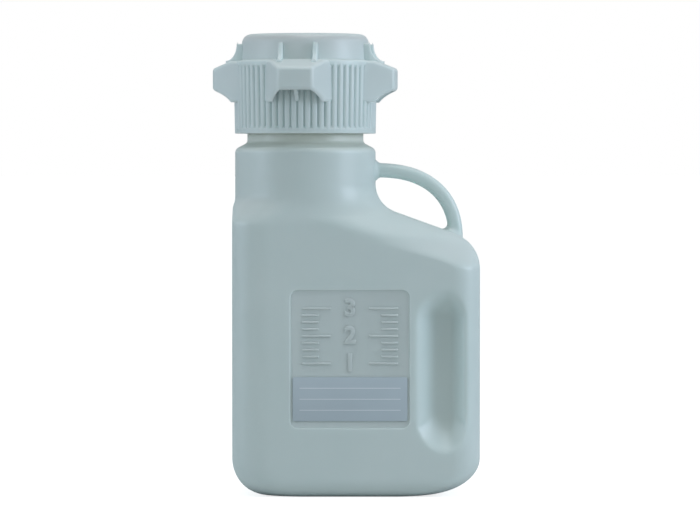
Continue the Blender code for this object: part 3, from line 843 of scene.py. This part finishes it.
def wing_fins():
    """The thin fin in the middle of each hollow, out to the wing's tip."""
    first, last = RING_RADIUS - RIB_DEPTH - CAP_WALL / 2, WING_REACH - WING_WALL / 2
    reaches = [blend(first, last, i / 6) for i in range(7)]
    lift = WING_WALL / 4
    stations = [(x, WING_FIN / 2, wing_bottom(x) + lift, wing_top(x) - WING_WALL / 2) for x in reaches]
    fins = drawn("wing_fins", stations)
    repeat_round(fins, WING_COUNT, WING_TURN)
    return fins


def gussets():
    """Curved fins in pairs, from the dome's side down to the top of each wing."""
    foot, half = DOME_RADIUS + GUSSET_FOOT, GUSSET_THICKNESS / 2
    low, high = RING_TOP - WING_WALL, RING_TOP + GUSSET_HEIGHT
    curve = arc((foot, high), (GUSSET_FOOT - GUSSET_BLUNT, GUSSET_HEIGHT), 180, 270, 9)
    stations = [(DOME_RADIUS - 2 * CAP_WALL, half, low, high)]
    hair = 1e-6  # each station is this much further out again than its arc puts it
    stations += [(x + i * hair, half, low, z) for i, (x, z) in enumerate(curve)]
    fins = drawn("gussets", stations)
    edit(fins)

    def upper_edge(points):
        return all(p.z > low + 1e-4 for p in points) and abs(points[0].y - points[1].y) < 1e-5

    pick(fins, "EDGE", upper_edge)
    bpy.ops.mesh.bevel(offset=GUSSET_ROUND, segments=2, affect="EDGES")
    pick(fins, "VERT", lambda points: points[0].z < low + 1e-4)
    bpy.ops.transform.resize(value=(1.0, GUSSET_DRAFT, 1.0), center_override=(AXIS_X, 0.0, low))
    bpy.ops.mesh.select_all(action="SELECT")
    bpy.ops.transform.translate(value=(0.0, WING_TIP / 2, 0.0))
    bpy.ops.mesh.duplicate()
    bpy.ops.transform.translate(value=(0.0, -WING_TIP, 0.0))
    leave()
    tidy(fins)
    repeat_round(fins, WING_COUNT, WING_TURN)
    return fins


def cap_hollow():
    """The room inside the cap: the bore of the ring, drawn in to the dome's, up to the ceiling."""
    dome = DOME_RADIUS - CAP_WALL
    ceiling = CAP_TOP - CAP_CEILING
    relief = CAP_WALL / 3
    step = RING_TOP - CAP_WALL
    profile = [
        (BORE, CAP_BOTTOM - CAP_WALL),
        (BORE, step - (BORE - dome)),
        (dome, step),
        (dome, ceiling - relief),
        (dome - relief, ceiling),
    ]
    return turned("cap_hollow", profile)


def winged_cap():
    """The injection moulding: ribbed ring and dome, with wings and gussets, hollowed and threaded."""
    wings = wing_blanks()
    combine(wings, "DIFFERENCE", wing_pockets())
    combine(wings, "UNION", wing_fins())
    cap = turned("winged_cap", cap_profile())
    combine(cap, "DIFFERENCE", rib_grooves())
    combine(cap, "UNION", wings)
    combine(cap, "UNION", gussets())
    combine(cap, "DIFFERENCE", cap_hollow())
    start_height = THREAD_START + THREAD_LEAD / 2
    ridge = thread("cap_thread", BORE + THREAD_GAP, NECK_RADIUS + THREAD_GAP, start_height)
    combine(cap, "UNION", ridge)
    tidy(cap, 30)
    return cap


# ---------------------------------------------------------------- label and scale marks


def label_sheet():
    """The thin sticker in the panel, with rounded corners."""
    start()
    bpy.ops.mesh.primitive_cube_add(size=1.0)
    obj = added("label_sheet")
    low, high = LABEL_LOW, LABEL_HIGH
    obj.scale = tuple(high[i] - low[i] for i in range(3))
    obj.location = tuple((high[i] + low[i]) / 2 for i in range(3))
    apply_place(obj)
    edit(obj)
    pick(obj, "EDGE", lambda points: abs(points[0].y - points[1].y) > (high[1] - low[1]) / 2)
    bpy.ops.mesh.bevel(offset=LABEL_CORNER, segments=6, affect="EDGES")
    pick(obj, "EDGE", lambda points: all(abs(p.y - low[1]) < 1e-6 for p in points))
    bpy.ops.mesh.bevel(offset=LABEL_EDGE, segments=2, affect="EDGES")
    leave()
    tidy(obj)
    return obj


def raised_number(digit, x, z):
    """A raised figure on the panel's floor, with its edges rounded."""
    start()
    bpy.ops.object.text_add()
    text = added("number")
    text.data.body = digit
    text.data.size = NUMBER_SIZE
    text.data.align_x = "CENTER"
    text.data.align_y = "CENTER"
    text.data.offset = NUMBER_SIZE / 40
    text.data.extrude = MARK_RELIEF * 0.6
    text.data.bevel_depth = MARK_RELIEF / 3
    text.data.bevel_resolution = 1
    bpy.ops.object.convert(target="MESH")
    mark = bpy.context.object
    mark.rotation_euler = (math.pi / 2, 0.0, 0.0)
    mark.location = (x, FRONT + PANEL_DEPTH, z)
    apply_place(mark)
    return mark


def raised_tick(x, z, length):
    """A raised line on the panel's floor, from x towards the handle side."""
    start()
    bpy.ops.mesh.primitive_cube_add(size=1.0)
    tick = added("tick")
    tick.scale = (length, 2 * MARK_RELIEF, TICK_HEIGHT)
    tick.location = (x + length / 2, FRONT + PANEL_DEPTH, z)
    apply_place(tick)
    edit(tick)
    pick(tick, "EDGE", lambda points: abs(points[0].y - points[1].y) < 1e-6)
    bpy.ops.mesh.bevel(offset=TICK_ROUND, segments=2, affect="EDGES")
    leave()
    return tick


def scale_marks():
    """A plain raised scale above the label: a row of ticks on each side of three numbers."""
    first, step = PANEL_LOW + PANEL_HEIGHT * SCALE_FIRST, PANEL_HEIGHT * SCALE_STEP
    left, right = PANEL_SHIFT - PANEL_WIDTH * SCALE_SIDE, PANEL_SHIFT + PANEL_WIDTH * SCALE_SIDE
    marks = []
    for i in range(TICK_COUNT):
        height = first + i * step
        numbered = i % TICK_LONG_EVERY == 0
        length = TICK_LONG if numbered else TICK_SHORT
        marks.append(raised_tick(left, height, length))
        marks.append(raised_tick(right - length, height, length))
        if numbered:
            marks.append(raised_number(str(1 + i // TICK_LONG_EVERY), PANEL_SHIFT, height))
    start()
    for mark in marks:
        mark.select_set(True)
    bpy.context.view_layer.objects.active = marks[0]
    bpy.ops.object.join()
    obj = added("scale_marks")
    tidy(obj)
    return obj


# ---------------------------------------------------------------- materials


def surface_group():
    """Shared look of moulded plastic: slow drift in tone, fine grain and a few rubbed places."""
    group = bpy.data.node_groups.new("moulded_surface", "ShaderNodeTree")
    for name, kind, value in (
        ("Drift Scale", "NodeSocketFloat", 18.0),
        ("Grain Scale", "NodeSocketFloat", 900.0),
    ):
        socket = group.interface.new_socket(name=name, in_out="INPUT", socket_type=kind)
        socket.default_value = value
    for name in ("Drift", "Grain", "Rub"):
        group.interface.new_socket(name=name, in_out="OUTPUT", socket_type="NodeSocketFloat")
    nodes, links = group.nodes, group.links
    inputs = nodes.new("NodeGroupInput")
    outputs = nodes.new("NodeGroupOutput")
    place = nodes.new("ShaderNodeTexCoord")
    drift = nodes.new("ShaderNodeTexNoise")
    drift.inputs["Detail"].default_value = 3.0
    grain = nodes.new("ShaderNodeTexNoise")
    grain.inputs["Detail"].default_value = 4.0
    rub = nodes.new("ShaderNodeTexNoise")
    rub.inputs["Scale"].default_value = 60.0
    rub.inputs["Detail"].default_value = 6.0
    rub.inputs["Distortion"].default_value = 1.5
    worn = nodes.new("ShaderNodeMapRange")
    worn.inputs["From Min"].default_value = 0.55
    worn.inputs["From Max"].default_value = 0.75
    for node in (drift, grain, rub):
        links.new(place.outputs["Object"], node.inputs["Vector"])
    links.new(inputs.outputs["Drift Scale"], drift.inputs["Scale"])
    links.new(inputs.outputs["Grain Scale"], grain.inputs["Scale"])
    links.new(rub.outputs["Fac"], worn.inputs["Value"])
    links.new(drift.outputs["Fac"], outputs.inputs["Drift"])
    links.new(grain.outputs["Fac"], outputs.inputs["Grain"])
    links.new(worn.outputs["Result"], outputs.inputs["Rub"])
    return group


def plastic(name, group, tones, roughness, grain_height, scales, settings):
    """A moulded plastic: two tones mixed by drift, satin roughness and a fine grain."""
    made = bpy.data.materials.new(name)
    made.use_nodes = True
    nodes, links = made.node_tree.nodes, made.node_tree.links
    shader = nodes["Principled BSDF"]
    for socket, value in settings.items():
        shader.inputs[socket].default_value = value
    look = nodes.new("ShaderNodeGroup")
    look.node_tree = group
    look.inputs["Drift Scale"].default_value, look.inputs["Grain Scale"].default_value = scales
    mix = nodes.new("ShaderNodeMix")
    mix.data_type = "RGBA"
    mix.inputs["A"].default_value = (*tones[0], 1.0)
    mix.inputs["B"].default_value = (*tones[1], 1.0)
    links.new(look.outputs["Drift"], mix.inputs["Factor"])
    links.new(mix.outputs["Result"], shader.inputs["Base Color"])
    rough = nodes.new("ShaderNodeMapRange")
    rough.inputs["To Min"].default_value = roughness - 0.05
    rough.inputs["To Max"].default_value = roughness + 0.07
    links.new(look.outputs["Rub"], rough.inputs["Value"])
    links.new(rough.outputs["Result"], shader.inputs["Roughness"])
    bump = nodes.new("ShaderNodeBump")
    bump.name = "grain"
    bump.inputs["Distance"].default_value = grain_height
    bump.inputs["Strength"].default_value = 0.6
    links.new(look.outputs["Grain"], bump.inputs["Height"])
    links.new(bump.outputs["Normal"], shader.inputs["Normal"])
    return made


def place_parts(nodes, links):
    """The X, Y and Z of each point of the piece."""
    place = nodes.new("ShaderNodeTexCoord")
    parts = nodes.new("ShaderNodeSeparateXYZ")
    links.new(place.outputs["Object"], parts.inputs["Vector"])
    return parts.outputs


def add_neck_painted_glow(made):
    """Painted glow: the tower's top and the neck, where the cap shades them, are tinted a lighter creamy
    green to stand for light coming through the plastic.
    """
    nodes, links = made.node_tree.nodes, made.node_tree.links
    tone = nodes["Principled BSDF"].inputs["Base Color"]
    film = tone.links[0].from_socket
    rise = nodes.new("ShaderNodeMapRange")
    rise.interpolation_type = "SMOOTHSTEP"
    rise.inputs["From Min"].default_value = TOWER_FOOT
    rise.inputs["From Max"].default_value = TOWER_EDGE + TOWER_ROUND
    # painted glow: a lighter creamy green, rising from the tower's foot to full on the neck in the cap's
    # shade
    painted_glow = nodes.new("ShaderNodeMix")
    painted_glow.data_type = "RGBA"
    painted_glow.inputs["B"].default_value = (0.75, 0.82, 0.735, 1.0)
    links.new(place_parts(nodes, links)["Z"], rise.inputs["Value"])
    links.new(rise.outputs["Result"], painted_glow.inputs["Factor"])
    links.new(film, painted_glow.inputs["A"])
    links.new(painted_glow.outputs["Result"], tone)


def add_parting_line(made):
    """The thin raised line where the two halves of the mould met, in the middle plane."""
    nodes, links = made.node_tree.nodes, made.node_tree.links
    away = nodes.new("ShaderNodeMath")
    away.operation = "ABSOLUTE"
    line = nodes.new("ShaderNodeMapRange")
    line.interpolation_type = "SMOOTHSTEP"
    line.inputs["From Min"].default_value = 0.00015
    line.inputs["From Max"].default_value = 0.0006
    line.inputs["To Min"].default_value = 1.0
    line.inputs["To Max"].default_value = 0.0
    ridge = nodes.new("ShaderNodeBump")
    ridge.inputs["Distance"].default_value = 0.00025
    links.new(place_parts(nodes, links)["Y"], away.inputs[0])
    links.new(away.outputs["Value"], line.inputs["Value"])
    links.new(line.outputs["Result"], ridge.inputs["Height"])
    links.new(ridge.outputs["Normal"], nodes["grain"].inputs["Normal"])


def label_material(group):
    """Grey film with plain ruled lines to write on."""
    made = plastic(
        "label_film",
        group,
        tones=((0.46, 0.55, 0.60), (0.50, 0.59, 0.64)),
        roughness=0.42,
        grain_height=0.00001,
        scales=(40.0, 1600.0),
        settings={"Specular IOR Level": 0.45},
    )
    nodes, links = made.node_tree.nodes, made.node_tree.links
    tone = nodes["Principled BSDF"].inputs["Base Color"]
    film = tone.links[0].from_socket
    parts = place_parts(nodes, links)
    height = LABEL_HIGH[2] - LABEL_LOW[2]
    levels = [LABEL_LOW[2] + height * share for share in LABEL_LINES]
    masks = [band(nodes, links, parts["Z"], level, LABEL_LINE_HALF) for level in levels]
    total = masks[0]
    for other in masks[1:]:
        total = joined(nodes, links, "MAXIMUM", total, other)
    half = (LABEL_HIGH[0] - LABEL_LOW[0]) / 2 - LABEL_MARGIN
    inside = band(nodes, links, parts["X"], PANEL_SHIFT, half)
    total = joined(nodes, links, "MULTIPLY", total, inside)
    mix = nodes.new("ShaderNodeMix")
    mix.data_type = "RGBA"
    mix.inputs["B"].default_value = (0.74, 0.79, 0.84, 1.0)
    links.new(total, mix.inputs["Factor"])
    links.new(film, mix.inputs["A"])
    links.new(mix.outputs["Result"], tone)
    return made


def band(nodes, links, value, middle, half):
    """1 within half of the middle value, 0 outside."""
    node = nodes.new("ShaderNodeMath")
    node.operation = "COMPARE"
    node.inputs[1].default_value = middle
    node.inputs[2].default_value = half
    links.new(value, node.inputs[0])
    return node.outputs["Value"]


def joined(nodes, links, operation, first, second):
    """Two masks brought together by a Math node's operation."""
    node = nodes.new("ShaderNodeMath")
    node.operation = operation
    links.new(first, node.inputs[0])
    links.new(second, node.inputs[1])
    return node.outputs["Value"]


def dress(obj, made, body, slot_name, *nodes):
    """Gives a finished piece its material and its body, and hides the CAD nodes it stands for. The slot name
    is not used.
    """
    obj.data.materials.clear()
    obj.data.materials.append(made)
    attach(obj, body)
    if nodes:
        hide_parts(*nodes)


# ---------------------------------------------------------------- studio


def studio():
    """A wide pale floor, an even white surround and three softboxes."""
    start()
    place = (0.0, 0.0, -FLOOR_DROP)
    bpy.ops.mesh.primitive_circle_add(vertices=64, radius=FLOOR_RADIUS, fill_type="NGON", location=place)
    floor = added("floor")
    apply_place(floor)
    pale = bpy.data.materials.new("studio_floor")
    pale.use_nodes = True
    shader = pale.node_tree.nodes["Principled BSDF"]
    shader.inputs["Base Color"].default_value = (0.68, 0.69, 0.68, 1.0)
    shader.inputs["Roughness"].default_value = 0.9
    shader.inputs["Specular IOR Level"].default_value = 0.0
    shader.inputs["Emission Color"].default_value = (1.0, 1.0, 1.0, 1.0)
    seen = pale.node_tree.nodes.new("ShaderNodeLightPath")
    glow = pale.node_tree.nodes.new("ShaderNodeMath")
    glow.operation = "MULTIPLY"
    glow.inputs[1].default_value = FLOOR_GLOW
    pale.node_tree.links.new(seen.outputs["Is Camera Ray"], glow.inputs[0])
    pale.node_tree.links.new(glow.outputs["Value"], shader.inputs["Emission Strength"])
    floor.data.materials.append(pale)
    world = bpy.data.worlds.new("studio")
    bpy.context.scene.world = world
    world.use_nodes = True
    nodes, links = world.node_tree.nodes, world.node_tree.links
    surround = nodes["Background"]
    surround.inputs["Color"].default_value = (0.90, 0.98, 1.0, 1.0)
    surround.inputs["Strength"].default_value = SURROUND_STRENGTH
    white = nodes.new("ShaderNodeBackground")
    white.inputs["Color"].default_value = (1.0, 1.0, 1.0, 1.0)
    seen = nodes.new("ShaderNodeLightPath")
    either = nodes.new("ShaderNodeMixShader")
    links.new(seen.outputs["Is Camera Ray"], either.inputs["Fac"])
    links.new(surround.outputs["Background"], either.inputs[1])
    links.new(white.outputs["Background"], either.inputs[2])
    links.new(either.outputs["Shader"], nodes["World Output"].inputs["Surface"])
    softbox("key", (1.5, -0.50, 0.60), 0.7, 10.0, (0.76, 0.84, 1.0))
    softbox("fill", (-1.5, -0.40, 0.5), 0.7, 4.5, (0.72, 0.82, 1.0))
    softbox("top", (0.0, -0.30, 1.7), 0.8, 7.0, (1.0, 0.95, 0.96))
    view = bpy.context.scene.view_settings
    view.view_transform = "Standard"
    view.look = "None"


def softbox(name, place, size, power, tint):
    """A round area light that points at the middle of the bottle."""
    light = bpy.data.lights.new(name, "AREA")
    light.shape = "DISK"
    light.size = size
    light.energy = power
    light.color = tint
    lamp = bpy.data.objects.new(name, light)
    bpy.context.collection.objects.link(lamp)
    lamp.location = place
    aim = (-place[0], -place[1], SOFTBOX_AIM - place[2])
    yaw = math.atan2(-aim[0], aim[1])
    pitch = math.atan2(math.hypot(aim[0], aim[1]), -aim[2])
    lamp.rotation_euler = (pitch, 0.0, yaw)


def camera():
    """A far camera near the height of the tower's top, turned slightly down to frame the bottle."""
    data = bpy.data.cameras.new("camera")
    data.sensor_width = SENSOR
    data.lens = SENSOR * CAMERA_DISTANCE / VIEW_WIDTH
    obj = bpy.data.objects.new("camera", data)
    bpy.context.collection.objects.link(obj)
    obj.location = (CAMERA_X, -CAMERA_DISTANCE, CAMERA_HEIGHT)
    drop = math.atan2(CAMERA_HEIGHT - CAMERA_AIM, CAMERA_DISTANCE)
    obj.rotation_euler = (math.pi / 2 - drop, 0.0, 0.0)
    bpy.context.scene.camera = obj


def main():
    camera()
    group = surface_group()
    translucent = {
        "Subsurface Weight": 0.85,
        "Subsurface Radius": (1.0, 1.0, 1.0),
        "Subsurface Scale": 0.004,
        "Specular IOR Level": 0.5,
    }
    hdpe = plastic(
        "bottle_hdpe",
        group,
        tones=((0.605, 0.72, 0.71), (0.685, 0.79, 0.775)),
        roughness=0.42,
        grain_height=0.00002,
        scales=(14.0, 900.0),
        settings=translucent,
    )
    add_parting_line(hdpe)
    # painted glow on the tower's top and the neck, in the cap's shade
    add_neck_painted_glow(hdpe)
    polypropylene = plastic(
        "cap_polypropylene",
        group,
        tones=((0.625, 0.725, 0.725), (0.69, 0.785, 0.78)),
        roughness=0.45,
        grain_height=0.00001,
        scales=(30.0, 1200.0),
        settings=translucent,
    )
    rubber = plastic(
        "gasket_elastomer",
        group,
        tones=((0.62, 0.62, 0.58), (0.70, 0.70, 0.66)),
        roughness=0.62,
        grain_height=0.00002,
        scales=(60.0, 1500.0),
        settings={"Specular IOR Level": 0.4},
    )
    dress(bottle_shell(), hdpe, "bottle", "bottle_hdpe", "bottle")
    dress(scale_marks(), hdpe, "bottle", "bottle_hdpe")
    dress(label_sheet(), label_material(group), "bottle", "label_film", "label")
    dress(winged_cap(), polypropylene, "cap", "cap_polypropylene", "screw_cap")
    gasket = frame["nodes"]["cap_gasket"]
    gasket.data.materials.clear()
    gasket.data.materials.append(rubber)
    studio()


main()
